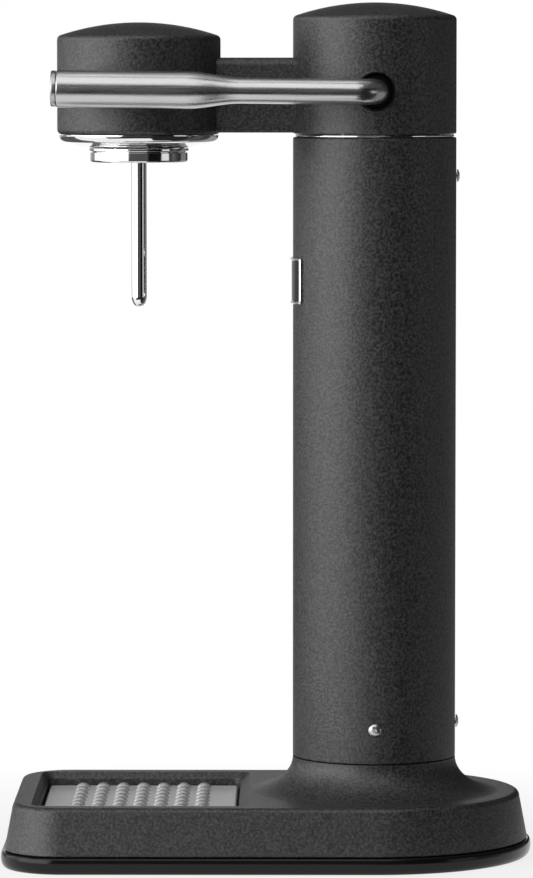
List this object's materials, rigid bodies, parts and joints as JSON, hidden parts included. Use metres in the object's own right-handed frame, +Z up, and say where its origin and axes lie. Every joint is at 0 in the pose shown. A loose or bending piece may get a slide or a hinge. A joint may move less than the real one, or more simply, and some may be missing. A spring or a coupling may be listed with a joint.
{
  "type": "sparkling water maker",
  "caption": "Tall slim sparkling water maker: round column on a D-shaped base, two-drum head with a bridge, side lever, steel nozzle, drip plate and an inner gas cylinder.",
  "frame": {"origin": "middle of the footprint, on the surface that the machine stands on", "axes": "+Z up, -X towards the front where the bottle stands, -Y towards the side with the lever"},
  "size_m": [0.256, 0.153, 0.4135],
  "materials": {
    "black_powder_coat": "matte black powder coat with a fine sand texture",
    "gloss_black": "glossy black moulding",
    "polished_steel": "mirror polished stainless steel",
    "satin_steel": "fine satin stainless steel",
    "screw_steel": "bright turned steel",
    "zinc_plated_steel": "dull zinc plating",
    "brass": "machined brass",
    "black_rubber": "plain moulded rubber",
    "grey_plastic": "fine moulded grain",
    "grey_enamel": "smooth grey enamel"
  },
  "bodies": {
    "machine": {"base_shell": "black_powder_coat", "column_tube": "black_powder_coat", "head_housing": "black_powder_coat", "foot_ring": "gloss_black", "badge_plate": "gloss_black", "trim_ring": "polished_steel", "badge_frame": "polished_steel", "drum_plate": "polished_steel", "bottle_collar": "polished_steel", "nozzle_tube": "polished_steel", "side_screw_near": "screw_steel", "side_screw_far": "screw_steel", "rear_screw_lower": "screw_steel", "rear_screw_upper": "screw_steel", "bottom_screw_1": "screw_steel", "bottom_screw_2": "screw_steel", "bottom_screw_3": "screw_steel", "bottom_screw_4": "screw_steel", "head_screw_1": "screw_steel", "head_screw_2": "screw_steel", "head_screw_3": "screw_steel", "bracket_screw_1": "screw_steel", "bracket_screw_2": "screw_steel", "collar_screw_1": "screw_steel", "collar_screw_2": "screw_steel", "collar_screw_3": "screw_steel", "return_spring": "screw_steel", "pin_spring": "screw_steel", "head_carrier": "zinc_plated_steel", "lever_bracket": "zinc_plated_steel", "gas_pipe": "zinc_plated_steel", "valve_block": "brass", "valve_ring_nut": "brass", "relief_valve": "brass", "pipe_nut_valve": "brass", "pipe_nut_nozzle": "brass", "axle_bush_near": "brass", "axle_bush_far": "brass", "valve_gasket": "black_rubber", "bottle_gasket": "black_rubber", "bottom_plate": "grey_plastic", "nozzle_block": "grey_plastic"},
    "lever": {"lever_arm": "satin_steel", "lever_end_cap": "polished_steel", "lever_hub": "satin_steel", "hub_screw": "screw_steel", "lever_axle": "zinc_plated_steel", "axle_clip": "zinc_plated_steel", "lever_cam": "zinc_plated_steel"},
    "push_pin": {"push_pin": "zinc_plated_steel"},
    "drip_plate": {"drip_plate": "satin_steel"},
    "gas_cylinder": {"gas_cylinder": "grey_enamel", "cylinder_valve": "brass"}
  },
  "joints": [
    {"name": "lever_pull", "type": "hinge", "parent": "machine", "child": "lever", "pos_m": [0.0515, 0, 0.3708], "axis": [0, -1, 0], "range_deg": [0, 40], "stiffness_Nm_per_rad": 0.6, "springref_deg": -57.3},
    {"name": "pin_push", "type": "slide", "parent": "machine", "child": "push_pin", "axis": [0, 0, -1], "range_m": [0, 0.003], "deforming": ["pin_spring"]},
    {"name": "plate_lift", "type": "slide", "parent": "machine", "child": "drip_plate", "axis": [0, 0, 1], "range_m": [0, 0.06]},
    {"name": "cylinder_draw", "type": "slide", "parent": "machine", "child": "gas_cylinder", "axis": [0, 0, -1], "range_m": [0, 0.36]}
  ],
  "couplings": [
    {"joint": "pin_push", "follows": "lever_pull", "m_per_rad": 0.0042972}
  ]
}
